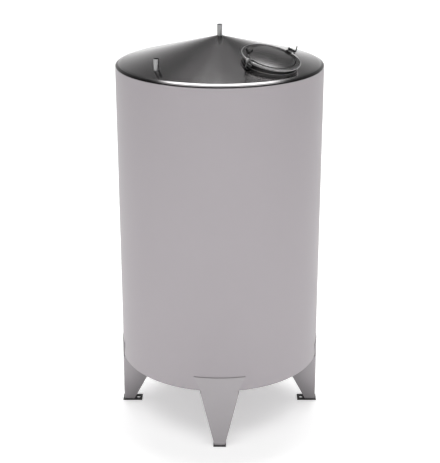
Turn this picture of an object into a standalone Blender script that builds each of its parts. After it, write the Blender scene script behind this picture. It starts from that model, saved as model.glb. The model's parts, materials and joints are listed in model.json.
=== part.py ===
"""Vertical stainless steel storage tank on four folded legs, with a round hatch in its conical roof.

Metres, +Z up. The origin lies on the floor, under the tank's axis. The front leg points along -Y.
A place round the tank is given by its azimuth: 0 degrees is the front, 90 degrees is the right side.
"""
import math

import bmesh
import bpy
from mathutils import Matrix, Vector

# Driving dimensions of the tank
SHELL_RADIUS = 0.700
SHEET = 0.003
WALL_BOTTOM_Z = 0.4304
WALL_TOP_Z = 2.509
ROOF_KNUCKLE = 0.018
ROOF_SLOPE = math.radians(15.7)
BOTTOM_KNUCKLE = 0.012
BOTTOM_SLOPE = math.radians(10.0)
WALL_SEGMENTS = 8
ROUND_FACETS = 96
KNUCKLE_STEPS = 5
CONTACT_GAP = 0.0003

# Legs and feet
LEG_AZIMUTHS = {"front": 0.0, "right": 90.0, "back": 180.0, "left": 270.0}
LEG_SHEET = 0.004
LEG_TOP_Z = 0.5233
LEG_HALF_WIDTH_TOP = 0.176
LEG_HALF_WIDTH_WALL = 0.138
LEG_HALF_WIDTH_FOOT = 0.037
LEG_ARC_STEPS = 12
LEG_ROWS_ON_WALL = 4
LEG_SEAT_GAP = 0.0004
FLANGE_INNER_FOOT = 0.634
FLANGE_INNER_GROWTH = 0.48
FLANGE_SET_BACK = 0.0004
FLANGE_SEAT_GAP = 0.0006
FLANGE_RELIEF = 0.014
FOOT_THICKNESS = 0.010
FOOT_WIDTH = 0.087
FOOT_LENGTH = 0.139
FOOT_OUTER_RADIUS = 0.714
FOOT_HOLE_RADIUS = 0.014
FOOT_HOLE_INSET = 0.028

# Pipes
PIPE_RADIUS = 0.0175
PIPE_WALL = 0.002
PIPE_FACETS = 24
PIPE_BELOW_SHEET = 0.012
VENT_TOP_Z = 2.787
FILL_AZIMUTH = -46.0
FILL_DISTANCE = 0.5625
FILL_HEIGHT = 0.078
DRAIN_RADIUS = 0.0255
DRAIN_BOTTOM_Z = 0.235

# Hatch, in its own frame: origin at the lid's rim plane, +Z square to the roof, +Y up the roof
HATCH_AZIMUTH = 46.0
HATCH_DISTANCE = 0.448
HATCH_LIFT = 0.042
HATCH_TURN = math.radians(3.0)
HATCH_FACETS = 48
NECK_RADIUS = 0.180
NECK_BELOW = 0.066
NECK_TOP = -0.0105
NECK_FLANGE_RADIUS = 0.1885
NECK_FLANGE_THICKNESS = 0.005
GASKET_INNER = 0.1745
GASKET_OUTER = 0.183
LID_RADIUS = 0.1975
LID_BEAD_RADIUS = 0.007
LID_RIM_TOP = 0.004
LID_GROOVE_RADIUS = 0.168
LID_RIM_WIDTH = 0.004
LID_BEAD_STEPS = 6
LID_DOME_HEIGHT = 0.016
LID_DOME_STEPS = 7

# Hatch hinge: two ears on the neck, and a pin that turns with the lid and has a turned-up end
HINGE_DISTANCE = 0.212
HINGE_HEIGHT = 0.010
HINGE_PIN_RADIUS = 0.004
HINGE_PIN_FACETS = 16
RUNNING_GAP = 0.0004
PIN_UPTURN = 0.042
PIN_BEND_RADIUS = 0.007
PIN_END_REACH = 0.004
KNUCKLE_RADIUS = 0.0085
KNUCKLE_HALF = 0.0205
LEAF_HALF = 0.019
LEAF_SHEET = 0.004
LEAF_FOOT_START = 0.174
LEAF_FOOT_END = 0.182
LEAF_BEAD_CLEARANCE = 0.0012
EAR_INNER = 0.022
EAR_THICKNESS = 0.005
EAR_HALF_WIDTH = 0.0085
EAR_CORNER = 0.003
BRACKET_LOW = -0.038
BRACKET_HIGH = -0.020
BRACKET_SHEET = 0.005
UNION_OVERLAP = 0.001

# Hatch latch, a little uphill of the place across from the hinge: a stem that turns in a sleeve on
# the lid, with a tongue under a catch on the neck
LATCH_TURN = math.radians(-6.5)
LATCH_DISTANCE = 0.215
STEM_RADIUS = 0.006
STEM_BOTTOM = -0.045
SLEEVE_RADIUS = 0.012
SLEEVE_BOTTOM = -0.004
SLEEVE_TOP = 0.030
TAB_HALF_WIDTH = 0.012
TAB_HIGH = 0.013
TAB_BEAD_CLEARANCE = 0.0012
TONGUE_LENGTH = 0.025
TONGUE_WIDTH = 0.014
TONGUE_THICKNESS = 0.006
COLLAR_RADIUS = 0.010
COLLAR_HEIGHT = 0.005
CATCH_REACH = 0.200
CATCH_LOW = -0.034
CATCH_SHELF_HIGH = -0.029
CATCH_HIGH = -0.020
CATCH_SHEET = 0.005
CATCH_HALF_WIDTH = 0.018
GRIP_BOTTOM = 0.054
GRIP_HUB_RADIUS = 0.010
GRIP_HUB_HEIGHT = 0.017
GRIP_TOP = 0.088
GRIP_HALF_SPAN = 0.024
GRIP_WING_ROOT = 0.006
GRIP_WING_HEIGHT = 0.018
GRIP_WING_CORNER = 0.004
GRIP_WING_SHEET = 0.007
GRIP_TURN = math.radians(-43.0)

FINISHES = {
    "shell_steel": ((0.42, 0.405, 0.41), 0.42, 1.0),
    "roof_steel": ((0.30, 0.30, 0.30), 0.30, 1.0),
    "leg_steel": ((0.38, 0.365, 0.37), 0.45, 1.0),
    "hatch_steel": ((0.40, 0.40, 0.40), 0.25, 1.0),
    "pipe_steel": ((0.50, 0.50, 0.50), 0.30, 1.0),
    "foot_coating": ((0.03, 0.03, 0.03), 0.50, 0.0),
    "gasket_rubber": ((0.02, 0.02, 0.02), 0.70, 0.0),
    "grip_plastic": ((0.015, 0.015, 0.015), 0.45, 0.0),
}


def clear_scene():
    for old in list(bpy.data.objects):
        bpy.data.objects.remove(old, do_unlink=True)


def material(name):
    found = bpy.data.materials.get(name)
    if found:
        return found
    color, roughness, metallic = FINISHES[name]
    made = bpy.data.materials.new(name)
    made.use_nodes = True
    shader = made.node_tree.nodes["Principled BSDF"]
    shader.inputs["Base Color"].default_value = (*color, 1.0)
    shader.inputs["Roughness"].default_value = roughness
    shader.inputs["Metallic"].default_value = metallic
    return made


def place(name, bm, finish, parent=None):
    """Turn a bmesh into a named object with its finish, closed and facing outwards."""
    bmesh.ops.recalc_face_normals(bm, faces=bm.faces)
    mesh = bpy.data.meshes.new(name)
    bm.to_mesh(mesh)
    bm.free()
    made = bpy.data.objects.new(name, mesh)
    bpy.context.scene.collection.objects.link(made)
    mesh.shade_smooth()
    mesh.set_sharp_from_angle(angle=math.radians(30))
    if finish:
        mesh.materials.append(material(finish))
    made.parent = parent
    return made


def helper(name, bm, parent=None):
    """A solid that only shapes its neighbours and is no piece of the tank."""
    made = place(name, bm, None, parent)
    made.hide_render = True
    made.display_type = "WIRE"
    return made


def shape_with(target, tool, operation):
    change = target.modifiers.new(tool.name, "BOOLEAN")
    change.operation = operation
    change.solver = "EXACT"
    change.object = tool


def direction(azimuth):
    angle = math.radians(azimuth)
    return Vector((math.sin(angle), -math.cos(angle), 0.0))


def turned(profile, facets, start=0.0, sweep=2 * math.pi):
    """Revolve a closed outline of (radius, height) points about the Z axis."""
    bm = bmesh.new()
    full = sweep > 2 * math.pi - 1e-6
    stations = facets if full else facets + 1
    rings = []
    for radius, height in profile:
        if radius < 1e-6:
            rings.append([bm.verts.new((0.0, 0.0, height))] * stations)
            continue
        ring = []
        for index in range(stations):
            angle = start + sweep * index / facets
            ring.append(bm.verts.new((radius * math.sin(angle), -radius * math.cos(angle), height)))
        rings.append(ring)
    for lower, upper in zip(rings, rings[1:] + rings[:1]):
        for index in range(facets):
            following = (index + 1) % stations
            corners = [lower[index], lower[following], upper[following], upper[index]]
            unique = list(dict.fromkeys(corners))
            if len(unique) > 2:
                bm.faces.new(unique)
    if not full:
        bm.faces.new([ring[0] for ring in rings])
        bm.faces.new([ring[-1] for ring in rings])
    return bm


def arc(centre_radius, centre_height, radius, start, end, steps):
    """Points of a round stretch of an outline; angles run from the outward direction upwards."""
    points = []
    for index in range(steps + 1):
        angle = start + (end - start) * index / steps
        across = centre_radius + radius * math.cos(angle)
        points.append((across, centre_height + radius * math.sin(angle)))
    return points


def prism(outline, low, high, axis="Y"):
    """Extrude an outline of (first, second) points; along Y they are X and Z, along Z they are X and Y."""
    bm = bmesh.new()
    near = []
    far = []
    for first, second in outline:
        if axis == "Y":
            near.append(bm.verts.new((first, low, second)))
            far.append(bm.verts.new((first, high, second)))
        else:
            near.append(bm.verts.new((first, second, low)))
            far.append(bm.verts.new((first, second, high)))
    bm.faces.new(near)
    bm.faces.new(far)
    for index in range(len(outline)):
        following = (index + 1) % len(outline)
        bm.faces.new([near[index], near[following], far[following], far[index]])
    return bm


def rod(radius, low, high, facets):
    return turned([(0.0, low), (radius, low), (radius, high), (0.0, high)], facets)


def moved(bm, matrix):
    bmesh.ops.transform(bm, matrix=matrix, verts=bm.verts)
    return bm


# Tank shell

def roof_height(radius):
    """Height of the roof's outer face over a point at this distance from the axis."""
    knuckle_centre = SHELL_RADIUS - ROOF_KNUCKLE
    start_radius = knuckle_centre + ROOF_KNUCKLE * math.sin(ROOF_SLOPE)
    start_height = WALL_TOP_Z + ROOF_KNUCKLE * math.cos(ROOF_SLOPE)
    return start_height + (start_radius - radius) * math.tan(ROOF_SLOPE)


def bottom_height(radius):
    """Height of the bottom's outer face at this distance from the axis."""
    knuckle_centre = SHELL_RADIUS - BOTTOM_KNUCKLE
    start_radius = knuckle_centre + BOTTOM_KNUCKLE * math.sin(BOTTOM_SLOPE)
    start_height = WALL_BOTTOM_Z - BOTTOM_KNUCKLE * math.cos(BOTTOM_SLOPE)
    return start_height - (start_radius - radius) * math.tan(BOTTOM_SLOPE)


def end_outline(knuckle, slope, hole_radius, seam_height, upward):
    """Outline of a conical end with a rounded rim: outer face out to in, inner face back again."""
    centre = SHELL_RADIUS - knuckle
    turn = math.pi / 2 - slope
    outer = arc(centre, 0.0, knuckle, 0.0, turn, KNUCKLE_STEPS)
    inner = arc(centre, 0.0, knuckle - SHEET, 0.0, turn, KNUCKLE_STEPS)
    rises = []
    for face in (outer, inner):
        radius, height = face[-1]
        rises.append((hole_radius, height + (radius - hole_radius) * math.tan(slope)))
    points = outer + [rises[0], rises[1]] + inner[::-1]
    side = 1.0 if upward else -1.0
    return [(radius, seam_height + side * height) for radius, height in points]


def build_wall():
    """The rolled wall, as equal curved panels with their joints between the legs."""
    sweep = 2 * math.pi / WALL_SEGMENTS
    joint = CONTACT_GAP / SHELL_RADIUS
    inner = SHELL_RADIUS - SHEET
    outline = [
        (inner, WALL_BOTTOM_Z),
        (SHELL_RADIUS, WALL_BOTTOM_Z),
        (SHELL_RADIUS, WALL_TOP_Z),
        (inner, WALL_TOP_Z),
    ]
    for index in range(WALL_SEGMENTS):
        start = sweep * (index - 0.5) + joint / 2
        panel = turned(outline, ROUND_FACETS // WALL_SEGMENTS, start, sweep - joint)
        place(f"wall_panel_{index + 1}", panel, "shell_steel")


def build_roof(hatch_frame):
    outline = end_outline(ROOF_KNUCKLE, ROOF_SLOPE, PIPE_RADIUS + CONTACT_GAP, WALL_TOP_Z + CONTACT_GAP, True)
    roof = place("roof_cone", turned(outline, ROUND_FACETS), "roof_steel")
    hatch_hole = rod(NECK_RADIUS + CONTACT_GAP, -2 * NECK_BELOW, 0.0, HATCH_FACETS)
    shape_with(roof, helper("hatch_hole", hatch_hole, hatch_frame), "DIFFERENCE")
    fill_hole = rod(PIPE_RADIUS + CONTACT_GAP, -FILL_HEIGHT, FILL_HEIGHT, PIPE_FACETS)
    moved(fill_hole, Matrix.Translation(fill_base()))
    shape_with(roof, helper("fill_hole", fill_hole), "DIFFERENCE")


def build_bottom():
    outline = end_outline(
        BOTTOM_KNUCKLE, BOTTOM_SLOPE, DRAIN_RADIUS + CONTACT_GAP, WALL_BOTTOM_Z - CONTACT_GAP, False
    )
    place("bottom_cone", turned(outline, ROUND_FACETS), "shell_steel")


# Legs and feet

def leg_half_width(height):
    """Half the leg's width across: an even taper below the wall, and a wider flare on it."""
    foot = FOOT_THICKNESS
    if height <= WALL_BOTTOM_Z:
        share = (height - foot) / (WALL_BOTTOM_Z - foot)
        return LEG_HALF_WIDTH_FOOT + share * (LEG_HALF_WIDTH_WALL - LEG_HALF_WIDTH_FOOT)
    share = (height - WALL_BOTTOM_Z) / (LEG_TOP_Z - WALL_BOTTOM_Z)
    return LEG_HALF_WIDTH_WALL + share * (LEG_HALF_WIDTH_TOP - LEG_HALF_WIDTH_WALL)


def leg_web():
    """The leg's face sheet, which lies round the wall and runs straight down to the foot."""
    inner = SHELL_RADIUS + LEG_SEAT_GAP
    outer = inner + LEG_SHEET
    bm = bmesh.new()
    rows = []
    rise = (LEG_TOP_Z - WALL_BOTTOM_Z) / LEG_ROWS_ON_WALL
    levels = [WALL_BOTTOM_Z + rise * index for index in range(LEG_ROWS_ON_WALL + 1)]
    for height in [FOOT_THICKNESS + CONTACT_GAP] + levels:
        arcs = []
        for radius in (inner, outer):
            limit = math.asin(leg_half_width(height) / outer)
            line = []
            for index in range(LEG_ARC_STEPS + 1):
                angle = -limit + 2 * limit * index / LEG_ARC_STEPS
                line.append(bm.verts.new((radius * math.sin(angle), -radius * math.cos(angle), height)))
            arcs.append(line)
        rows.append(arcs)
    for lower, upper in zip(rows, rows[1:]):
        for side in (0, 1):
            for index in range(LEG_ARC_STEPS):
                bm.faces.new([lower[side][index], lower[side][index + 1],
                              upper[side][index + 1], upper[side][index]])
        for end in (0, LEG_ARC_STEPS):
            bm.faces.new([lower[0][end], lower[1][end], upper[1][end], upper[0][end]])
    for row in (rows[0], rows[-1]):
        for index in range(LEG_ARC_STEPS):
            bm.faces.new([row[0][index], row[0][index + 1], row[1][index + 1], row[1][index]])
    return bm


def leg_flange(side):
    """A folded side of the leg: it runs in under the tank and its top follows the tank's bottom."""
    foot = FOOT_THICKNESS + CONTACT_GAP
    web_middle = SHELL_RADIUS + CONTACT_GAP + LEG_SHEET / 2

    def web_distance(height):
        return math.sqrt(web_middle ** 2 - leg_half_width(height) ** 2)

    def inner_distance(height):
        return FLANGE_INNER_FOOT - FLANGE_INNER_GROWTH * (height - foot)

    def seat_height(distance):
        height = WALL_BOTTOM_Z
        for _ in range(4):
            across = math.hypot(distance, leg_half_width(height) - LEG_SHEET)
            height = bottom_height(across) - FLANGE_SEAT_GAP
        return height

    seat = WALL_BOTTOM_Z
    for _ in range(6):
        inner_top = inner_distance(seat)
        seat = seat_height(inner_top)
    middle = (foot + seat) / 2
    knuckle_start = SHELL_RADIUS - 2 * BOTTOM_KNUCKLE
    relief_low = seat_height(knuckle_start) - FLANGE_RELIEF
    relief_inner = knuckle_start - FLANGE_RELIEF
    outline = [
        (web_distance(foot), foot),
        (web_distance(middle), middle),
        (web_distance(relief_low), relief_low),
        (relief_inner, seat_height(relief_inner)),
        (inner_top, seat),
        (inner_distance(foot), foot),
    ]
    bm = bmesh.new()
    faces = []
    for offset in (FLANGE_SET_BACK, FLANGE_SET_BACK + LEG_SHEET):
        line = []
        for distance, height in outline:
            across = side * (leg_half_width(height) - offset)
            line.append(bm.verts.new((across, -distance, height)))
        faces.append(line)
        bm.faces.new(line)
    for index in range(len(outline)):
        following = (index + 1) % len(outline)
        bm.faces.new([faces[0][index], faces[0][following], faces[1][following], faces[1][index]])
    return bm


def foot_plate():
    half = FOOT_WIDTH / 2
    low = -FOOT_OUTER_RADIUS
    high = low + FOOT_LENGTH
    return prism([(-half, low), (half, low), (half, high), (-half, high)], 0.0, FOOT_THICKNESS, "Z")


def build_legs():
    hole_distance = FOOT_OUTER_RADIUS - FOOT_LENGTH + FOOT_HOLE_INSET
    for side, azimuth in LEG_AZIMUTHS.items():
        turn = Matrix.Rotation(math.radians(azimuth), 4, "Z")
        leg = place(f"leg_{side}", moved(leg_web(), turn), "leg_steel")
        for hand, sign in (("a", -1), ("b", 1)):
            flange = helper(f"leg_{side}_flange_{hand}", moved(leg_flange(sign), turn))
            shape_with(leg, flange, "UNION")
        foot = place(f"foot_{side}", moved(foot_plate(), turn), "foot_coating")
        hole = rod(FOOT_HOLE_RADIUS, -FOOT_THICKNESS, 2 * FOOT_THICKNESS, PIPE_FACETS)
        moved(hole, Matrix.Translation(direction(azimuth) * hole_distance))
        shape_with(foot, helper(f"foot_{side}_hole", hole), "DIFFERENCE")


# Pipes

def fill_base():
    base = direction(FILL_AZIMUTH) * FILL_DISTANCE
    base.z = roof_height(FILL_DISTANCE)
    return base


def open_pipe(radius, low, high):
    inner = radius - PIPE_WALL
    return turned([(inner, low), (radius, low), (radius, high), (inner, high)], PIPE_FACETS)


def build_pipes():
    vent_low = roof_height(PIPE_RADIUS) - PIPE_BELOW_SHEET
    place("vent_pipe", open_pipe(PIPE_RADIUS, vent_low, VENT_TOP_Z), "pipe_steel")
    reach_down = PIPE_RADIUS * math.tan(ROOF_SLOPE) + PIPE_BELOW_SHEET
    fill = open_pipe(PIPE_RADIUS, -reach_down, FILL_HEIGHT)
    place("fill_pipe", moved(fill, Matrix.Translation(fill_base())), "pipe_steel")
    drain_top = bottom_height(DRAIN_RADIUS) + 2 * SHEET
    place("drain_pipe", open_pipe(DRAIN_RADIUS, DRAIN_BOTTOM_Z, drain_top), "pipe_steel")


# Hatch

def make_frame(name, matrix, parent=None):
    frame = bpy.data.objects.new(name, None)
    bpy.context.scene.collection.objects.link(frame)
    frame.parent = parent
    frame.matrix_local = matrix
    return frame


def hatch_matrix():
    """The hatch's frame: square to the roof, with +X along the tank's side from latch to hinge."""
    outward = direction(HATCH_AZIMUTH)
    normal = Vector((0, 0, math.cos(ROOF_SLOPE))) + outward * math.sin(ROOF_SLOPE)
    uphill = Vector((0, 0, math.sin(ROOF_SLOPE))) - outward * math.cos(ROOF_SLOPE)
    sideways = uphill.cross(normal)
    origin = outward * HATCH_DISTANCE
    origin.z = roof_height(HATCH_DISTANCE)
    origin += normal * HATCH_LIFT
    basis = Matrix((sideways, uphill, normal)).transposed().to_4x4()
    return Matrix.Translation(origin) @ basis @ Matrix.Rotation(HATCH_TURN, 4, "Z")


def build_neck(frame):
    inner = NECK_RADIUS - SHEET
    flange_low = NECK_TOP - NECK_FLANGE_THICKNESS
    outline = [
        (inner, -NECK_BELOW),
        (NECK_RADIUS, -NECK_BELOW),
        (NECK_RADIUS, flange_low),
        (NECK_FLANGE_RADIUS, flange_low),
        (NECK_FLANGE_RADIUS, NECK_TOP),
        (inner, NECK_TOP),
    ]
    place("hatch_neck", turned(outline, HATCH_FACETS), "hatch_steel", frame)


def lid_outline():
    """The lid from its crown over the groove and rim to the bead, and back along its underside."""
    bead_centre = LID_RADIUS - LID_BEAD_RADIUS
    bead_inner = bead_centre - LID_BEAD_RADIUS
    bead_height = LID_RIM_TOP - LID_BEAD_RADIUS
    rim_under = LID_RIM_TOP - SHEET
    rim_inner = LID_GROOVE_RADIUS + LID_RIM_WIDTH
    ball = (LID_GROOVE_RADIUS ** 2 + LID_DOME_HEIGHT ** 2) / (2 * LID_DOME_HEIGHT)
    dome = []
    for index in range(LID_DOME_STEPS + 1):
        radius = LID_GROOVE_RADIUS * index / LID_DOME_STEPS
        dome.append((radius, math.sqrt(ball ** 2 - radius ** 2) - ball + LID_DOME_HEIGHT))
    bead = arc(bead_centre, bead_height, LID_BEAD_RADIUS, math.pi / 2, -math.pi / 2, LID_BEAD_STEPS)
    under = [(bead_inner, bead_height), (bead_inner, rim_under), (rim_inner, rim_under)]
    dome_under = [(radius, height - SHEET) for radius, height in reversed(dome)]
    return dome + [(rim_inner, LID_RIM_TOP)] + bead + under + dome_under


def build_lid(frame):
    place("hatch_lid", turned(lid_outline(), HATCH_FACETS), "hatch_steel", frame)
    low = NECK_TOP + CONTACT_GAP
    high = LID_RIM_TOP - SHEET - CONTACT_GAP
    ring = [(GASKET_INNER, low), (GASKET_OUTER, low), (GASKET_OUTER, high), (GASKET_INNER, high)]
    place("hatch_gasket", turned(ring, HATCH_FACETS), "gasket_rubber", frame)


# Hinge

def on_hinge_axis(bm):
    return moved(bm, Matrix.Translation((HINGE_DISTANCE, 0.0, HINGE_HEIGHT)))


def hinge_rod(radius, half_length):
    """A round rod along the hinge's axis."""
    upright = rod(radius, -half_length, half_length, HINGE_PIN_FACETS)
    return on_hinge_axis(moved(upright, Matrix.Rotation(math.radians(90), 4, "X")))


def bent_pin():
    """The pin: straight through the ears, then turned up at its near end."""
    end = EAR_INNER + EAR_THICKNESS + PIN_END_REACH
    path = [Vector((0.0, end, 0.0))]
    for index in range(KNUCKLE_STEPS + 1):
        angle = math.pi / 2 * index / KNUCKLE_STEPS
        across = PIN_BEND_RADIUS * math.sin(angle)
        rise = PIN_BEND_RADIUS * (1 - math.cos(angle))
        path.append(Vector((0.0, -EAR_INNER - EAR_THICKNESS - across, rise)))
    path.append(path[-1] + Vector((0.0, 0.0, PIN_UPTURN - PIN_BEND_RADIUS)))
    return on_hinge_axis(swept(path, HINGE_PIN_RADIUS, HINGE_PIN_FACETS))


def swept(path, radius, facets):
    """A round bar along a path that stays in the plane of Y and Z."""
    bm = bmesh.new()
    side = Vector((1.0, 0.0, 0.0))
    rings = []
    for index, point in enumerate(path):
        before = path[max(index - 1, 0)]
        after = path[min(index + 1, len(path) - 1)]
        up = side.cross((after - before).normalized())
        ring = []
        for step in range(facets):
            angle = 2 * math.pi * step / facets
            ring.append(bm.verts.new(point + (side * math.sin(angle) + up * math.cos(angle)) * radius))
        rings.append(ring)
    bm.faces.new(rings[0])
    bm.faces.new(rings[-1])
    for lower, upper in zip(rings, rings[1:]):
        for step in range(facets):
            following = (step + 1) % facets
            bm.faces.new([lower[step], lower[following], upper[following], upper[step]])
    return bm


def build_bracket(frame):
    """A plate on the neck with two ears that stand up beside the knuckle."""
    wall = NECK_RADIUS + CONTACT_GAP
    face = wall + BRACKET_SHEET
    ear_outer = EAR_INNER + EAR_THICKNESS
    plate = [(wall, BRACKET_LOW), (face, BRACKET_LOW), (face, BRACKET_HIGH), (wall, BRACKET_HIGH)]
    bracket = place("hinge_bracket", prism(plate, -ear_outer, ear_outer), "hatch_steel", frame)
    root = face - UNION_OVERLAP
    inner = HINGE_DISTANCE - EAR_HALF_WIDTH
    outer = HINGE_DISTANCE + EAR_HALF_WIDTH
    top = HINGE_HEIGHT + EAR_HALF_WIDTH
    ear = [
        (root, BRACKET_LOW + UNION_OVERLAP),
        (inner, BRACKET_LOW + UNION_OVERLAP),
        (outer, BRACKET_HIGH),
        (outer, top - EAR_CORNER),
        (outer - EAR_CORNER, top),
        (inner + EAR_CORNER, top),
        (inner, top - EAR_CORNER),
        (inner, BRACKET_HIGH - UNION_OVERLAP),
        (root, BRACKET_HIGH - UNION_OVERLAP),
    ]
    far = prism(ear, EAR_INNER, ear_outer - UNION_OVERLAP)
    near = prism(ear, UNION_OVERLAP - ear_outer, -EAR_INNER)
    shape_with(bracket, helper("hinge_ear_far", far, frame), "UNION")
    shape_with(bracket, helper("hinge_ear_near", near, frame), "UNION")
    return bracket


def build_hinge(frame, lid_frame):
    """The bracket, the bent pin, and a leaf on the lid's rim that carries the knuckle."""
    bracket = build_bracket(frame)
    bore = hinge_rod(HINGE_PIN_RADIUS + RUNNING_GAP, 2 * EAR_INNER)
    bore_tool = helper("hinge_bore", bore, frame)
    shape_with(bracket, bore_tool, "DIFFERENCE")
    place("hinge_pin", bent_pin(), "pipe_steel", lid_frame)

    seat = LID_RIM_TOP + CONTACT_GAP
    over_bead = LID_RIM_TOP + LEAF_BEAD_CLEARANCE
    top = over_bead + LEAF_SHEET
    outline = [
        (LEAF_FOOT_START, seat),
        (LEAF_FOOT_END, seat),
        (LEAF_FOOT_END + UNION_OVERLAP, over_bead),
        (HINGE_DISTANCE - KNUCKLE_RADIUS + UNION_OVERLAP, over_bead),
        (HINGE_DISTANCE, HINGE_HEIGHT + UNION_OVERLAP),
        (HINGE_DISTANCE, HINGE_HEIGHT + KNUCKLE_RADIUS - UNION_OVERLAP),
        (HINGE_DISTANCE - KNUCKLE_RADIUS, top),
        (LEAF_FOOT_START, top),
    ]
    leaf = place("hinge_leaf", prism(outline, -LEAF_HALF, LEAF_HALF), "hatch_steel", lid_frame)
    knuckle = helper("hinge_knuckle", hinge_rod(KNUCKLE_RADIUS, KNUCKLE_HALF), lid_frame)
    shape_with(leaf, knuckle, "UNION")
    shape_with(leaf, bore_tool, "DIFFERENCE")


# Latch

def build_tab(at_stem, lid_frame):
    """An arm on the lid's rim with the sleeve in which the stem turns."""
    seat = LID_RIM_TOP + CONTACT_GAP
    over_bead = LID_RIM_TOP + TAB_BEAD_CLEARANCE
    outline = [
        (-LEAF_FOOT_START, seat),
        (-LEAF_FOOT_START, TAB_HIGH),
        (-LATCH_DISTANCE, TAB_HIGH),
        (-LATCH_DISTANCE, over_bead),
        (-LEAF_FOOT_END, over_bead),
        (-LEAF_FOOT_END, seat),
    ]
    tab = place("latch_tab", prism(outline, -TAB_HALF_WIDTH, TAB_HALF_WIDTH), "hatch_steel", lid_frame)
    sleeve = moved(rod(SLEEVE_RADIUS, SLEEVE_BOTTOM, SLEEVE_TOP, PIPE_FACETS), at_stem)
    shape_with(tab, helper("latch_sleeve", sleeve, lid_frame), "UNION")
    bore = rod(STEM_RADIUS + RUNNING_GAP, 2 * SLEEVE_BOTTOM, 2 * SLEEVE_TOP, PIPE_FACETS)
    shape_with(tab, helper("latch_bore", moved(bore, at_stem), lid_frame), "DIFFERENCE")


def build_stem(at_stem, latch_frame):
    """The stem with a collar that rests on the sleeve, and a tongue at its foot."""
    collar_low = SLEEVE_TOP + CONTACT_GAP
    collar_high = collar_low + COLLAR_HEIGHT
    low = STEM_BOTTOM + UNION_OVERLAP
    high = GRIP_BOTTOM - CONTACT_GAP
    outline = [
        (0.0, low),
        (STEM_RADIUS, low),
        (STEM_RADIUS, collar_low),
        (COLLAR_RADIUS, collar_low),
        (COLLAR_RADIUS, collar_high),
        (STEM_RADIUS, collar_high),
        (STEM_RADIUS, high),
        (0.0, high),
    ]
    stem = place("latch_stem", moved(turned(outline, PIPE_FACETS), at_stem), "pipe_steel", latch_frame)
    half = TONGUE_WIDTH / 2
    flat = [(-half, -TONGUE_LENGTH), (half, -TONGUE_LENGTH), (half, half), (-half, half)]
    tongue = moved(prism(flat, STEM_BOTTOM, STEM_BOTTOM + TONGUE_THICKNESS, "Z"), at_stem)
    shape_with(stem, helper("latch_tongue", tongue, latch_frame), "UNION")


def build_grip(at_stem, latch_frame):
    """The black wing grip: a round hub with two wings that rise and spread."""
    hub = rod(GRIP_HUB_RADIUS, GRIP_BOTTOM, GRIP_BOTTOM + GRIP_HUB_HEIGHT, PIPE_FACETS)
    grip = place("latch_grip", moved(hub, at_stem), "grip_plastic", latch_frame)
    tip = GRIP_HALF_SPAN
    corner = GRIP_WING_CORNER
    right = [
        (GRIP_WING_ROOT, GRIP_BOTTOM + corner),
        (tip - corner, GRIP_TOP - GRIP_WING_HEIGHT),
        (tip, GRIP_TOP - 2 * corner),
        (tip - corner, GRIP_TOP),
        (tip - 2 * corner, GRIP_TOP),
        (GRIP_WING_ROOT, GRIP_TOP - GRIP_WING_HEIGHT),
    ]
    left = [(-across, height) for across, height in reversed(right)]
    wings = prism(right + left, -GRIP_WING_SHEET / 2, GRIP_WING_SHEET / 2)
    moved(wings, at_stem @ Matrix.Rotation(GRIP_TURN, 4, "Z"))
    shape_with(grip, helper("latch_wings", wings, latch_frame), "UNION")


def build_catch(frame):
    """The angle on the neck that the tongue turns in under."""
    wall = -(NECK_RADIUS + CONTACT_GAP)
    face = wall - CATCH_SHEET
    outline = [
        (wall, CATCH_LOW),
        (wall, CATCH_HIGH),
        (face, CATCH_HIGH),
        (face, CATCH_SHELF_HIGH),
        (-CATCH_REACH, CATCH_SHELF_HIGH),
        (-CATCH_REACH, CATCH_LOW),
    ]
    place("latch_catch", prism(outline, -CATCH_HALF_WIDTH, CATCH_HALF_WIDTH), "hatch_steel", frame)


def about(frame_name, pivot, parent):
    """A frame on a joint's axis, and one inside it whose origin is back at the hatch's own."""
    axis_frame = make_frame(frame_name, Matrix.Translation(pivot), parent)
    return make_frame(f"{frame_name}_parts", Matrix.Translation(-Vector(pivot)), axis_frame)


def main():
    clear_scene()
    hatch_frame = make_frame("hatch_frame", hatch_matrix())
    lid_frame = about("lid_axis", (HINGE_DISTANCE, 0.0, HINGE_HEIGHT), hatch_frame)
    latch_turn = Matrix.Rotation(LATCH_TURN, 4, "Z")
    catch_frame = make_frame("catch_side", latch_turn, hatch_frame)
    tab_frame = make_frame("latch_side", latch_turn, lid_frame)
    latch_frame = about("latch_axis", (-LATCH_DISTANCE, 0.0, 0.0), tab_frame)
    at_stem = Matrix.Translation((-LATCH_DISTANCE, 0.0, 0.0))
    build_wall()
    build_roof(hatch_frame)
    build_bottom()
    build_legs()
    build_pipes()
    build_neck(hatch_frame)
    build_lid(lid_frame)
    build_hinge(hatch_frame, lid_frame)
    build_tab(at_stem, tab_frame)
    build_stem(at_stem, latch_frame)
    build_grip(at_stem, latch_frame)
    build_catch(catch_frame)
    bpy.context.view_layer.update()


if __name__ == "__main__":
    main()
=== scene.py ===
"""Vertical stainless steel storage tank, dressed for a plain studio view.

Metres, +Z up. The tank stands on the floor at the origin and its front leg points along -Y.
A place round the tank is given by its azimuth: 0 degrees is the front, 90 degrees is the right side.
"""

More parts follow.
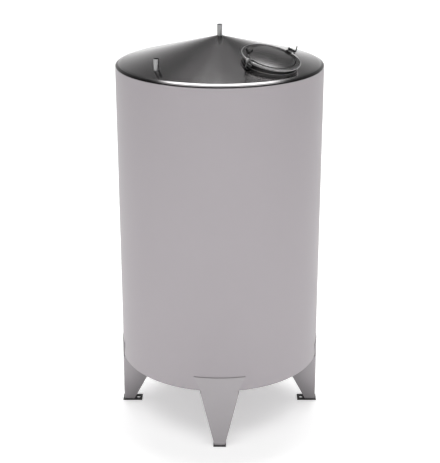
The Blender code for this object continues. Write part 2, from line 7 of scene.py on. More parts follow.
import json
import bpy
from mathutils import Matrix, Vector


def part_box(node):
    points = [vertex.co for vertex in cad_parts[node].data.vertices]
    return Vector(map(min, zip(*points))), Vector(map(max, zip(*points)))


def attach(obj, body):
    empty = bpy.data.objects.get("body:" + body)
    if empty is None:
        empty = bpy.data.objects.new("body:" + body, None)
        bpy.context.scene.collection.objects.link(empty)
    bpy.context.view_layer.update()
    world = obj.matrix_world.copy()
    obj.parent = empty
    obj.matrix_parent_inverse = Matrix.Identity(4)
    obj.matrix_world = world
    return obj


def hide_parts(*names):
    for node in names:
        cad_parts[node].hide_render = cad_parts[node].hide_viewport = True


bl_info = {
    "name": "Vertical storage tank",
    "version": (1, 0, 0),
    "blender": (4, 5, 0),
    "location": "View3D > Sidebar > Tank",
    "description": "Builds the smooth sheets, pipes, hatch and finishes of a storage tank on four legs",
    "category": "Add Mesh",
}

from math import asin, cos, hypot, pi, radians, sin, sqrt, tan

import bmesh
import bpy
from bpy.props import FloatProperty, FloatVectorProperty, IntProperty, PointerProperty
from bpy.types import NodeSocket, Operator, Panel, PropertyGroup
from mathutils import Matrix, Vector

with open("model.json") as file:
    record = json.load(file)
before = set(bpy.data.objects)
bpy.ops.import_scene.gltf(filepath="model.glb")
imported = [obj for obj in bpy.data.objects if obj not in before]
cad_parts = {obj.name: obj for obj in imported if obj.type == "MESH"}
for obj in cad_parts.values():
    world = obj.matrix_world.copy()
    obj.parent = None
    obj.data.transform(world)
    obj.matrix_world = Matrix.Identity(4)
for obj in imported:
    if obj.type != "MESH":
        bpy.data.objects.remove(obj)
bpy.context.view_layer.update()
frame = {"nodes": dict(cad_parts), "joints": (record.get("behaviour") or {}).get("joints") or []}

PANELS = [name for name in frame["nodes"] if name.startswith("wall_panel_")]
LEG_AZIMUTHS = {"front": 0.0, "right": 90.0, "back": 180.0, "left": 270.0}
WALL_LOW, WALL_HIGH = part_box(PANELS[0])
VENT_LOW, VENT_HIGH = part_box("vent_pipe")
FILL_LOW, FILL_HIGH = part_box("fill_pipe")
DRAIN_LOW, DRAIN_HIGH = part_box("drain_pipe")

# Gap between two pieces that sit on each other
SEAT = 0.0003
# Edges that turn by more degrees than this are shaded as sharp
SHARP = 35.0

# The studio's brightness by the angle over the tank, from the horizon in front to the one behind
SKY_STOPS = ((0.0, 1.2), (20.0, 1.0), (36.0, 0.35), (46.0, 0.06), (125.0, 0.06), (129.0, 0.115),
             (137.5, 0.115), (140.0, 0.150), (144.0, 0.115), (153.0, 0.20), (162.0, 0.37),
             (170.0, 0.58), (180.0, 0.90))
SKY_PEAK = 1.2
# The ring of light at the horizon: between which heights it fades, and how bright it is
HORIZON = (0.02, 0.15)
HORIZON_LEVEL = 0.9
# The soft box: its level, the angles and sideways places where it fades, and how far right it stands
BOX_LEVEL = 4.5
BOX_ANGLES = (110.0, 112.0, 130.5, 132.5)
BOX_SIDES = (0.24, 0.32)
BOX_ASIDE = 0.02
# The lamps that only matt surfaces show
LAMP_HEIGHT = 9.0
FILL_POWER = 520.0
FILL_SIZE = 14.0
EVEN_POWER = 1.55
EVEN_SPREAD = 120.0
# The floor: its colour, and its own glow by distance from the tank's axis, which is painted light that
# gives the tank's shadow its soft edge
FLOOR_TONE = (0.86, 0.86, 0.86)
PAINTED_GLOW_STOPS = ((0.0, 0.35), (0.40, 0.35), (0.50, 0.38), (0.58, 0.42), (0.66, 0.37), (0.74, 0.29),
              (0.84, 0.22), (0.94, 0.24), (1.1, 0.35), (1.4, 0.37), (3.0, 0.36))


def joint(name):
    return next(found for found in frame["joints"] if found["name"] == name)


# Sizes and colours that a user would change

def length(name, description, default, precision=3):
    """A length in metres."""
    return FloatProperty(name=name, description=description, default=default, precision=precision,
                         unit="LENGTH")


def angle(name, description, degrees):
    return FloatProperty(name=name, description=description, default=radians(degrees),
                         subtype="ANGLE")


def tint(name, description, *default):
    """A colour as linear red, green and blue."""
    return FloatVectorProperty(name=name, description=description, default=default, size=3,
                               subtype="COLOR", min=0.0, max=1.0)


class TankShellSizes(PropertyGroup):
    radius: length("Radius", "Outer radius of the wall", 0.700)
    sheet: length("Sheet", "Thickness of the wall, roof and bottom", 0.003, 4)
    roof_slope: angle("Roof slope", "Angle of the roof against the floor", 15.02)
    roof_knuckle: length("Roof knuckle", "Radius of the roof's rounded rim", 0.010)
    band_slope: angle("Band slope", "Slope of the steeper band inside the rim", 22.0)
    band_start: length("Band start", "Distance from the axis where the band starts", 0.6615)
    band_bend: length("Band bend", "Radius of the bend between roof and band", 0.060)
    wall_lift: length("Wall lift", "Height that the wall gains under the band", 0.0092, 4)
    bottom_slope: angle("Bottom slope", "Angle of the bottom against the floor", 10.0)
    bottom_knuckle: length("Bottom knuckle", "Radius of the bottom's rounded rim", 0.012)
    facets: IntProperty(name="Facets", description="Facets round the wall", default=288, min=24)


class TankLegSizes(PropertyGroup):
    sheet: length("Sheet", "Thickness of a leg's folded sheet", 0.004, 4)
    top: length("Top", "Height of a leg's top edge on the wall", 0.5233, 4)
    width_top: length("Width at the top", "Width of a leg at its top edge", 0.352)
    width_wall: length("Width at the wall's edge", "Width where the wall ends", 0.276)
    width_foot: length("Width at the foot", "Width of a leg at its foot plate", 0.074)
    fold: length("Fold", "Outer radius of the folds", 0.007, 4)
    relief: length("Corner relief", "Cut in a side's top corner behind the fold", 0.014)
    foot_thickness: length("Foot thickness", "Thickness of a foot plate", 0.0065, 4)


class TankPipeSizes(PropertyGroup):
    radius: length("Stub radius", "Outer radius of the vent and fill stubs", 0.0175, 4)
    drain_radius: length("Drain radius", "Outer radius of the drain stub", 0.0255, 4)
    wall: length("Wall", "Thickness of the stubs' walls", 0.002, 4)
    facets: IntProperty(name="Facets", description="Facets round a stub", default=64, min=12)


class TankHatchSizes(PropertyGroup):
    hinge_distance: length("Hinge distance", "From the hatch's middle to its hinge", 0.212)
    hinge_height: length("Hinge height", "Of the hinge's axis over the rim plane", 0.010)
    neck_radius: length("Neck radius", "Outer radius of the neck", 0.180)
    neck_depth: length("Neck depth", "How far the neck reaches below the rim plane", 0.066)
    neck_top: length("Neck top", "How far the neck's flange is below the rim plane", 0.0105, 4)
    flange_radius: length("Flange radius", "Outer radius of the neck's flange", 0.1885, 4)
    flange_thickness: length("Flange thickness", "Thickness of the neck's flange", 0.005, 4)
    lid_radius: length("Lid radius", "Outer radius of the lid's bead", 0.1975, 4)
    bead: length("Bead", "Radius of the lid's rolled edge", 0.007, 4)
    rim_top: length("Rim top", "Height of the lid's flat rim over the rim plane", 0.004, 4)
    groove: length("Groove", "Radius of the groove between the rim and the dome", 0.160)
    rib: length("Rib", "Radius of the rib under the lid that holds the gasket", 0.168)
    dome: length("Dome", "Height of the dome over the rim plane", 0.0110, 4)
    facets: IntProperty(name="Facets", description="Facets round the hatch", default=192, min=24)


class TankFinishes(PropertyGroup):
    wall: tint("Wall", "Colour of the wall and bottom", 0.374, 0.350, 0.366)
    roof: tint("Roof", "Colour of the roof sheet", 0.366, 0.355, 0.359)
    legs: tint("Legs", "Colour of the legs", 0.375, 0.357, 0.369)
    hatch: tint("Hatch", "Colour of the hatch's lid", 0.294, 0.287, 0.289)
    # Painted shade: the neck's colour is near black for the shade and dark reflections round the neck;
    # the lid's groove and the stubs' bores take a darker share of it, the flange a lighter one, and the
    # bead's painted highlight a far lighter one
    neck: tint("Neck", "Colour of the hatch's neck", 0.11, 0.11, 0.11)
    # Painted shade: the hinge's and latch's steel is near black for the shade and dark reflections on
    # them; the pin takes a darker share, the tab and catch a lighter one
    fittings: tint("Fittings", "Colour of the hinge and the latch", 0.10, 0.10, 0.10)
    pipes: tint("Pipes", "Colour of the pipe stubs", 0.33, 0.33, 0.33)
    feet: tint("Feet", "Colour of the foot plates' coating", 0.037, 0.037, 0.037)
    rubber: tint("Gasket", "Colour of the gasket", 0.020, 0.020, 0.020)
    grip: tint("Grip", "Colour of the latch's grip", 0.014, 0.014, 0.014)


class TankStageSizes(PropertyGroup):
    distance: length("Distance", "From the tank's axis to the camera, level", 7.885)
    height: length("Height", "Height of the camera", 4.260)
    aside: length("Aside", "How far the camera is right of the tank's axis", 0.0022, 4)
    pitch: FloatProperty(name="Pitch", description="How far the camera looks down",
                         default=0.35709, precision=5, subtype="ANGLE")
    lens: FloatProperty(name="Lens", description="Focal length for a frame 36 mm high",
                        default=92.61, unit="CAMERA")
    floor_radius: length("Floor", "Radius of the floor", 90.0)


# Shapes

def direction(azimuth):
    angle = radians(azimuth)
    return Vector((sin(angle), -cos(angle), 0.0))


def bend_centre(sizes):
    """Centre of the bend between roof and band: its distance from the axis, its height over the seam."""
    slope = sizes.band_slope
    across = sizes.band_start - sizes.band_bend * sin(sizes.roof_slope)
    inner = across + sizes.band_bend * sin(slope)
    outer = sizes.radius - sizes.roof_knuckle * (1.0 - sin(slope))
    rise = sizes.roof_knuckle * cos(slope) + (outer - inner) * tan(slope)
    return across, rise - sizes.band_bend * cos(slope)


def roof_height(sizes, radius):
    """Height of the roof's outer face at this distance from the axis, inside its band."""
    rise = bend_centre(sizes)[1] + sizes.band_bend * cos(sizes.roof_slope)
    seam = WALL_HIGH.z + SEAT + sizes.wall_lift
    return seam + rise + (sizes.band_start - radius) * tan(sizes.roof_slope)


def bottom_height(sizes, radius):
    """Height of the bottom's outer face at this distance from the axis."""
    centre = sizes.radius - sizes.bottom_knuckle
    start = centre + sizes.bottom_knuckle * sin(sizes.bottom_slope)
    height = WALL_LOW.z - sizes.bottom_knuckle * cos(sizes.bottom_slope)
    return height - (start - radius) * tan(sizes.bottom_slope)


def hatch_matrix(sizes):
    """The hatch's own frame, from its two joints: +Z square to the roof, +X from latch to hinge."""
    across = Vector(joint("lid_hinge")["axis"]).normalized()
    normal = Vector(joint("latch_turn")["axis"]).normalized()
    along = across.cross(normal).normalized()
    basis = Matrix((along, across, normal)).transposed().to_4x4()
    origin = Vector(joint("lid_hinge")["pos_m"])
    origin -= along * sizes.hinge_distance + normal * sizes.hinge_height
    return Matrix.Translation(origin) @ basis


def spaced(low, high, steps):
    """Values from low to high in equal steps, both ends included."""
    return [low + (high - low) * index / steps for index in range(steps + 1)]


def arc(across, height, radius, start, end, steps):
    """Points of a round stretch of an outline; angles run from the outward direction upwards."""
    return [(across + radius * cos(angle), height + radius * sin(angle))
            for angle in spaced(start, end, steps)]


def turned(outline, facets):
    """Revolve a closed outline of (radius, height) points about the Z axis."""
    bm = bmesh.new()
    angles = [2 * pi * index / facets for index in range(facets)]
    rings = []
    for radius, height in outline:
        if radius < 1e-6:
            rings.append([bm.verts.new((0.0, 0.0, height))] * facets)
        else:
            rings.append([bm.verts.new((radius * sin(angle), -radius * cos(angle), height))
                          for angle in angles])
    for lower, upper in zip(rings, rings[1:] + rings[:1]):
        for index in range(facets):
            following = (index + 1) % facets
            corners = [lower[index], lower[following], upper[following], upper[index]]
            unique = list(dict.fromkeys(corners))
            if len(unique) > 2:
                bm.faces.new(unique)
    bmesh.ops.recalc_face_normals(bm, faces=bm.faces)
    return bm


def piece(name, bm, look, matrix=None, sharp=SHARP):
    """A finished object with its place in its mesh."""
    if matrix is not None:
        bmesh.ops.transform(bm, matrix=matrix, verts=bm.verts)
    mesh = bpy.data.meshes.new(name)
    bm.to_mesh(mesh)
    bm.free()
    return dressed(name, mesh, look, sharp)


def dressed(name, mesh, look, sharp=SHARP):
    smoothed(mesh, sharp)
    mesh.materials.clear()
    mesh.materials.append(look)
    return linked(name, mesh)


def smoothed(mesh, sharp=SHARP):
    """Shade a mesh as smooth, apart from its sharp edges."""
    mesh.shade_smooth()
    mesh.set_sharp_from_angle(angle=radians(sharp))


def linked(name, data):
    """A new object in the scene."""
    made = bpy.data.objects.new(name, data)
    bpy.context.scene.collection.objects.link(made)
    return made


def part_finished(made, name, matrix, belongs):
    """Give a second finish to the faces whose distance from an axis and height along it belong."""
    made.data.materials.append(finish(name))
    back = matrix.inverted()
    for face in made.data.polygons:
        place = back @ face.center
        if belongs(place.to_2d().length, place.z):
            face.material_index = len(made.data.materials) - 1


def hand_over(made, body, slot, *nodes):
    """Let a piece ride on its body and stand for its nodes."""
    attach(made, body)
    if nodes:
        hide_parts(*nodes)


def cut_with(target, tool):
    """Cut another solid out of a piece for good, and remove that solid."""
    change = target.modifiers.new("shape", "BOOLEAN")
    change.operation = "DIFFERENCE"
    change.solver = "EXACT"
    change.object = tool
    settle(target)
    bpy.data.objects.remove(tool, do_unlink=True)


def settle(made):
    """Replace a piece's mesh by what its modifiers make of it."""
    mesh = modified(made)
    made.modifiers.clear()
    made.data = mesh


def modified(made):
    graph = bpy.context.evaluated_depsgraph_get()
    return bpy.data.meshes.new_from_object(made.evaluated_get(graph))


def refined(node_name, name, look, width, matrix=None):
    """A node's solid with its loose triangles joined and its edges rounded."""
    bm = bmesh.new()
    bm.from_mesh(frame["nodes"][node_name].data)
    bmesh.ops.remove_doubles(bm, verts=bm.verts, dist=2e-5)
    bmesh.ops.dissolve_limit(bm, angle_limit=radians(1.0), verts=bm.verts, edges=bm.edges)
    sharp = [edge for edge in bm.edges
             if edge.is_manifold and edge.calc_face_angle(0.0) > radians(40.0)]
    bmesh.ops.bevel(bm, geom=sharp, offset=width, offset_type="OFFSET", segments=3, profile=0.5,
                    affect="EDGES", clamp_overlap=True)
    return piece(name, bm, look, matrix)


# Geometry node trees

def new_tree(name, **inputs):
    """A node tree, and the outputs that give its inputs."""
    tree = bpy.data.node_groups.new(name, "GeometryNodeTree")
    tree.is_modifier = True
    tree.interface.new_socket(name="Geometry", in_out="INPUT", socket_type="NodeSocketGeometry")
    for label, kind in inputs.items():
        tree.interface.new_socket(name=label, in_out="INPUT", socket_type=f"NodeSocket{kind}")
    tree.interface.new_socket(name="Geometry", in_out="OUTPUT", socket_type="NodeSocketGeometry")
    return tree, tree.nodes.new("NodeGroupInput").outputs


def node(tree, kind, settings=None, **values):
    """Add a node; values give its inputs as a number or as another node's output."""
    made = tree.nodes.new(kind)
    for key, value in (settings or {}).items():
        setattr(made, key, value)
    fed(tree, made, values)
    return made


def fed(tree, made, values):
    """Give a node's inputs their values, by name or by number."""
    for key, value in values.items():
        socket = made.inputs[int(key[1:])] if key[0] == "i" and key[1:].isdigit() else made.inputs[key]
        if isinstance(value, NodeSocket):
            tree.links.new(value, socket)
        else:
            socket.default_value = value


def calc(tree, operation, *values):
    """What a Math node gives; values are numbers or other nodes' outputs."""
    given = {f"i{index}": value for index, value in enumerate(values)}
    return node(tree, "ShaderNodeMath", {"operation": operation}, **given).outputs[0]


def ranged(tree, value, low, high, start, end, **settings):
    """A value that runs from low to high, turned into one that runs from start to end."""
    return node(tree, "ShaderNodeMapRange", settings, Value=value,
                **{"From Min": low, "From Max": high, "To Min": start, "To Max": end}).outputs[0]


def close_tree(tree, geometry, material):
    """End a tree in Set Shade Smooth, Realize Instances and Set Material."""
    smooth = node(tree, "GeometryNodeSetShadeSmooth", Geometry=geometry)
    real = node(tree, "GeometryNodeRealizeInstances", Geometry=smooth.outputs[0])
    painted = node(tree, "GeometryNodeSetMaterial", Geometry=real.outputs[0], Material=material)
    out = tree.nodes.new("NodeGroupOutput")
    tree.links.new(painted.outputs[0], out.inputs[0])


def band_tree():
    """A round band of sheet: a circle swept by an upright rectangle."""
    tree, given = new_tree("sheet_band", Radius="Float", Sheet="Float", Low="Float", High="Float",
                           Facets="Int", Finish="Material")
    middle = calc(tree, "SUBTRACT", given["Radius"], calc(tree, "MULTIPLY", given["Sheet"], 0.5))
    tall = calc(tree, "SUBTRACT", given["High"], given["Low"])
    centre = calc(tree, "MULTIPLY", calc(tree, "ADD", given["High"], given["Low"]), 0.5)
    circle = node(tree, "GeometryNodeCurvePrimitiveCircle", Resolution=given["Facets"], Radius=middle)
    profile = node(tree, "GeometryNodeCurvePrimitiveQuadrilateral", Width=given["Sheet"], Height=tall)
    swept = node(tree, "GeometryNodeCurveToMesh",
                 Curve=circle.outputs[0], **{"Profile Curve": profile.outputs[0]})
    lift = node(tree, "ShaderNodeCombineXYZ", Z=centre)
    raised = node(tree, "GeometryNodeTransform", Geometry=swept.outputs[0], Translation=lift.outputs[0])
    close_tree(tree, raised.outputs[0], given["Finish"])
    return tree


def bead_tree():
    """A weld bead along a path, with the ripples that its drops leave."""
    tree, given = new_tree("weld_bead", Bead="Float", Ripple="Float", Step="Float", Finish="Material")
    even = node(tree, "GeometryNodeResampleCurve", {"mode": "LENGTH"},
                Curve=given["Geometry"], Length=given["Step"])
    index = tree.nodes.new("GeometryNodeInputIndex").outputs[0]
    wave = calc(tree, "SINE", calc(tree, "MULTIPLY", index, pi / 3))
    swell = calc(tree, "MULTIPLY_ADD", wave, given["Ripple"], 1.0)
    rippled = node(tree, "GeometryNodeSetCurveRadius", Curve=even.outputs[0], Radius=swell)
    profile = node(tree, "GeometryNodeCurvePrimitiveCircle", Resolution=8, Radius=given["Bead"])
    swept = node(tree, "GeometryNodeCurveToMesh", Curve=rippled.outputs[0],
                 **{"Profile Curve": profile.outputs[0], "Fill Caps": True})
    close_tree(tree, swept.outputs[0], given["Finish"])
    return tree


def identifier(tree, label):
    for item in tree.interface.items_tree:
        if item.name == label and item.in_out == "INPUT":
            return item.identifier
    raise RuntimeError(f"the tree {tree.name} has no input {label}")


def grown(name, carrier, tree, values, sharp=SHARP):
    """Run a tree on a carrier object and keep the plain mesh that it makes."""
    change = carrier.modifiers.new(tree.name, "NODES")
    change.node_group = tree
    for label, value in values.items():
        change[identifier(tree, label)] = value
    bpy.context.view_layer.update()
    mesh = modified(carrier)
    mesh.name = name
    bpy.data.objects.remove(carrier, do_unlink=True)
    return dressed(name, outward(mesh), values["Finish"], sharp)


def outward(mesh):
    """Join doubled points and point every face out."""
    bm = bmesh.new()
    bm.from_mesh(mesh)
    bmesh.ops.remove_doubles(bm, verts=bm.verts, dist=1e-6)
    bmesh.ops.recalc_face_normals(bm, faces=bm.faces)
    bm.to_mesh(mesh)
    bm.free()
    return mesh


def path_object(points):
    """A closed path through these points."""
    curve = bpy.data.curves.new("path", "CURVE")
    curve.dimensions = "3D"
    spline = curve.splines.new("POLY")
    spline.points.add(len(points) - 1)
    for point, place in zip(spline.points, points):
        point.co = (*place, 1.0)
    spline.use_cyclic_u = True
    return linked("path", curve)


# Finishes

# Which values of a place round an axis are its height and its distance from the axis
HEIGHT, DISTANCE = 1, 2
# The distance at which the arc round the hatch is measured
HATCH_REACH = 0.2
# The axis that a grain runs round, its clouds and lines per metre, and how deep its lines are
WALL_GRAIN = ("tank", (3.0, 2.2, 3.0), (14.0, 900.0, 300.0), 0.00004)
ROOF_GRAIN = ("tank", (6.0, 1.5, 1.5), (900.0, 6.0, 6.0), 0.00004)
LEG_GRAIN = ("tank", (5.0, 3.0, 5.0), (700.0, 12.0, 700.0), 0.00004)
HATCH_GRAIN = ("hatch", (9.0, 9.0, 9.0), (8.0, 900.0, 900.0), 0.00002)
PIPE_GRAIN = ("none", (20.0, 20.0, 8.0), (1600.0, 1600.0, 25.0), 0.00005)
FITTING_GRAIN = ("none", (30.0, 30.0, 30.0), (1500.0, 300.0, 1500.0), 0.00005)
# Each sheet finish: its colour, how much of it, its roughness and its grain
SHEETS = {
    "wall_sheet": ("wall", 1.0, 0.46, WALL_GRAIN),
    "roof_sheet": ("roof", 1.0, 0.16, ROOF_GRAIN),
    "leg_sheet": ("legs", 1.0, 0.48, LEG_GRAIN),
    "side_leg_sheet": ("legs", 1.0, 0.48, LEG_GRAIN),
    "hatch_sheet": ("hatch", 1.0, 0.20, HATCH_GRAIN),
    # The neck, groove, bore, fitting and pin finishes carry painted shade, and the bead's finish carries
    # a painted highlight
    "neck_sheet": ("neck", 0.85, 0.30, HATCH_GRAIN),
    "flange_sheet": ("neck", 3.0, 0.30, HATCH_GRAIN),
    "groove_sheet": ("neck", 0.3, 0.30, HATCH_GRAIN),
    "bead_sheet": ("neck", 5.2, 0.30, HATCH_GRAIN),
    "pipe_bore": ("neck", 0.3, 0.50, PIPE_GRAIN),
    "stub_steel": ("pipes", 1.0, 0.28, PIPE_GRAIN),
    "fitting_steel": ("fittings", 1.0, 0.26, FITTING_GRAIN),
    "clasp_steel": ("fittings", 3.6, 0.26, FITTING_GRAIN),
    "pin_steel": ("fittings", 0.35, 0.26, FITTING_GRAIN),
}
# Each coating or moulding: its colour, roughness, bump depth and gloss
COATS = {
    "foot_coat": ("feet", 0.50, 0.0004, 0.5),
    "seal_rubber": ("rubber", 0.72, 0.0003, 0.5),
    "wing_plastic": ("grip", 0.55, 0.0002, 0.12),
}
# The welds' two heat tints, and their places in the noise that mixes them
HEAT_TINTS = ((0.35, (0.20, 0.21, 0.24, 1.0)), (0.65, (0.36, 0.34, 0.31, 1.0)))


def principled(name, color, roughness, metallic):
    """A material with its shader; the base colour's pattern is linked afterwards."""
    made = bpy.data.materials.new(name)
    made.use_nodes = True
    tree = made.node_tree
    shader = tree.nodes["Principled BSDF"]
    fed(tree, shader, {"Base Color": (*color, 1.0), "Roughness": roughness, "Metallic": metallic})
    return made, tree, shader


def object_place(tree):
    return tree.nodes.new("ShaderNodeTexCoord").outputs["Object"]


def in_frame(tree, place, matrix):
    """The same place measured in another frame, such as the hatch's."""
    return node(tree, "ShaderNodeMapping", {"vector_type": "TEXTURE"}, Vector=place,
                Location=matrix.translation, Rotation=matrix.to_euler()).outputs[0]


def distance_of(tree, place):
    return node(tree, "ShaderNodeVectorMath", {"operation": "LENGTH"}, i0=place).outputs["Value"]


def azimuth_of(tree, sideways, forwards):
    """The angle from the front, in radians."""
    return calc(tree, "ARCTAN2", sideways, calc(tree, "MULTIPLY", forwards, -1.0))


def round_axis(tree, place, reach):
    """Arc length round the Z axis, height and distance from it, as one vector."""
    split = node(tree, "ShaderNodeSeparateXYZ", Vector=place).outputs
    along = calc(tree, "MULTIPLY", azimuth_of(tree, split[0], split[1]), reach)
    flat = node(tree, "ShaderNodeCombineXYZ", X=split[0], Y=split[1])
    return node(tree, "ShaderNodeCombineXYZ",
                X=along, Y=split[2], Z=distance_of(tree, flat.outputs[0])).outputs[0]


def place_round(tree, axis):
    """A point's place round the tank's axis or the hatch's, or else its plain coordinates."""
    scene = bpy.context.scene
    place = object_place(tree)
    if axis == "tank":
        return round_axis(tree, place, scene.tank_shell.radius)
    if axis == "hatch":
        return round_axis(tree, in_frame(tree, place, hatch_matrix(scene.tank_hatch)), HATCH_REACH)
    return place


def stretched_noise(tree, place, scale, detail, roughness):
    """Noise whose grains are 1 over the scale long, in metres, along each axis."""
    sized = node(tree, "ShaderNodeVectorMath", {"operation": "MULTIPLY"}, i0=place, i1=scale)
    return node(tree, "ShaderNodeTexNoise", {"noise_dimensions": "3D"}, Vector=sized.outputs[0],
                Scale=1.0, Detail=detail, Roughness=roughness).outputs["Fac"]


def spread(tree, value, low, high):
    """Noise, which stays near a half, turned into a range of values."""
    return ranged(tree, value, 0.3, 0.7, low, high)


def grey(level):
    return (level, level, level, 1.0)


def grey_ramp(tree, share, stops, peak=1.0, interpolation="LINEAR"):
    """Grey levels at each stop's share of the last stop, with peak shown as white."""
    made = node(tree, "ShaderNodeValToRGB", Fac=share)
    ramp = made.color_ramp
    ramp.interpolation = interpolation
    ramp.elements[0].color = grey(stops[0][1] / peak)
    ramp.elements[1].color = grey(stops[-1][1] / peak)
    for place, level in stops[1:-1]:
        ramp.elements.new(place / stops[-1][0]).color = grey(level / peak)
    return made.outputs["Color"]


def tinted(tree, shader, color, amount):
    """Base colour times a pattern value close to one."""
    tone = node(tree, "ShaderNodeVectorMath", {"operation": "SCALE"}, i0=color, Scale=amount)
    fed(tree, shader, {"Base Color": tone.outputs[0]})


def grained(tree, shader, height, distance, strength):
    bump = node(tree, "ShaderNodeBump", Height=height, Distance=distance, Strength=strength)
    fed(tree, shader, {"Normal": bump.outputs[0]})


def shaded(tree, place, axis, low, high, start):
    """A painted shade or light factor that runs from its start to one between two values of one
    coordinate: shade where it starts below one, light where it starts above.
    """
    split = node(tree, "ShaderNodeSeparateXYZ", Vector=place)
    return ranged(tree, split.outputs[axis], low, high, start, 1.0,
                  interpolation_type="SMOOTHSTEP")


def sheet_finish(name, color, roughness, axis, cloud, grain, depth, *shades):
    """Rolled stainless sheet: faint clouds, long rolling grain and a varying polish, and the painted
    shade and painted light that its shades give.
    """
    made, tree, shader = principled(name, color, roughness, 1.0)
    place = place_round(tree, axis)
    clouds = stretched_noise(tree, place, cloud, 3.0, 0.55)
    lines = stretched_noise(tree, place, grain, 3.0, 0.6)
    mixed = calc(tree, "MULTIPLY_ADD", lines, 0.35, calc(tree, "MULTIPLY", clouds, 0.65))
    tone = spread(tree, mixed, 0.975, 1.025)
    # Painted shade and light, by height or distance
    for shade in shades:
        tone = calc(tree, "MULTIPLY", tone, shaded(tree, place, *shade))
    tinted(tree, shader, color, tone)
    fed(tree, shader, {"Roughness": spread(tree, mixed, roughness - 0.025, roughness + 0.025)})
    grained(tree, shader, lines, depth, 0.5)
    return made


def coating_finish(name, color, roughness, bump, gloss):
    """Matt black coat with a fine orange-peel surface and slightly worn high spots."""
    made, tree, shader = principled(name, color, roughness, 0.0)
    place = object_place(tree)
    fine = stretched_noise(tree, place, (900.0,) * 3, 3.0, 0.6)
    broad = stretched_noise(tree, place, (45.0,) * 3, 4.0, 0.6)
    tinted(tree, shader, color, spread(tree, broad, 0.75, 1.35))
    polish = spread(tree, broad, roughness - 0.08, roughness + 0.08)
    fed(tree, shader, {"Roughness": polish, "Specular IOR Level": gloss})
    grained(tree, shader, fine, bump, 0.6)
    return made


def weld_finish(color):
    """Brushed weld metal, a little darker, with blue and straw heat tints."""
    made, tree, shader = principled("weld_metal", color, 0.38, 1.0)
    place = object_place(tree)
    tone = stretched_noise(tree, place, (60.0,) * 3, 3.0, 0.6)
    ramp = node(tree, "ShaderNodeValToRGB", Fac=tone)
    for stop, (share, tint_color) in zip(ramp.color_ramp.elements, HEAT_TINTS):
        stop.position = share
        stop.color = tint_color
    fed(tree, shader, {"Base Color": ramp.outputs["Color"]})
    fine = stretched_noise(tree, place, (1400.0,) * 3, 2.0, 0.6)
    grained(tree, shader, fine, 0.0003, 0.5)
    return made


def painted_light_and_shade_of(name):
    """Where a sheet's colour holds painted shade or painted light: by height or distance, between which
    values, from what share.
    """
    seam = WALL_HIGH.z + bpy.context.scene.tank_shell.wall_lift
    # Painted shade: the legs' sides darken where they reach in under the tank
    painted_shade_under_tank = (DISTANCE, 0.50, 0.710, 0.70)
    return {
        # Painted shade: the wall's colour darkens a little towards its bottom edge
        "wall_sheet": [(HEIGHT, WALL_LOW.z, WALL_HIGH.z, 0.955)],
        # Painted shade: the lower part of the roof's rounded rim, next to its seam with the wall, is
        # darkened to a quarter
        "roof_sheet": [(HEIGHT, seam + 0.0135, seam + 0.0155, 0.25)],
        "leg_sheet": [painted_shade_under_tank],
        # Painted shade: the side legs also darken towards the floor
        "side_leg_sheet": [painted_shade_under_tank, (HEIGHT, 0.0, 0.30, 0.64)],
        # Painted light: below its rim the lid's colour rises to 2.9 times, lighting the bead's lower
        # front and the underside
        "hatch_sheet": [(HEIGHT, -0.009, 0.002, 2.9)],
    }.get(name, [])


def finish(name):
    """The named finish, made the first time that it is asked for."""
    found = bpy.data.materials.get(name)
    if found:
        return found
    colors = bpy.context.scene.tank_finishes
    if name in SHEETS:
        key, share, roughness, grain = SHEETS[name]
        color = tuple(getattr(colors, key) * share)
        return sheet_finish(name, color, roughness, *grain, *painted_light_and_shade_of(name))
    if name in COATS:
        key, *look = COATS[name]
        return coating_finish(name, tuple(getattr(colors, key)), *look)
    if name == "weld_metal":
        return weld_finish(tuple(colors.hatch))
    raise RuntimeError(f"there is no finish named {name}")


def fitted(node_name, name, look, width, body, slot):
    """A small solid with rounded edges, in place of its node."""
    hand_over(refined(node_name, name, finish(look), width), body, slot, node_name)


# Operators

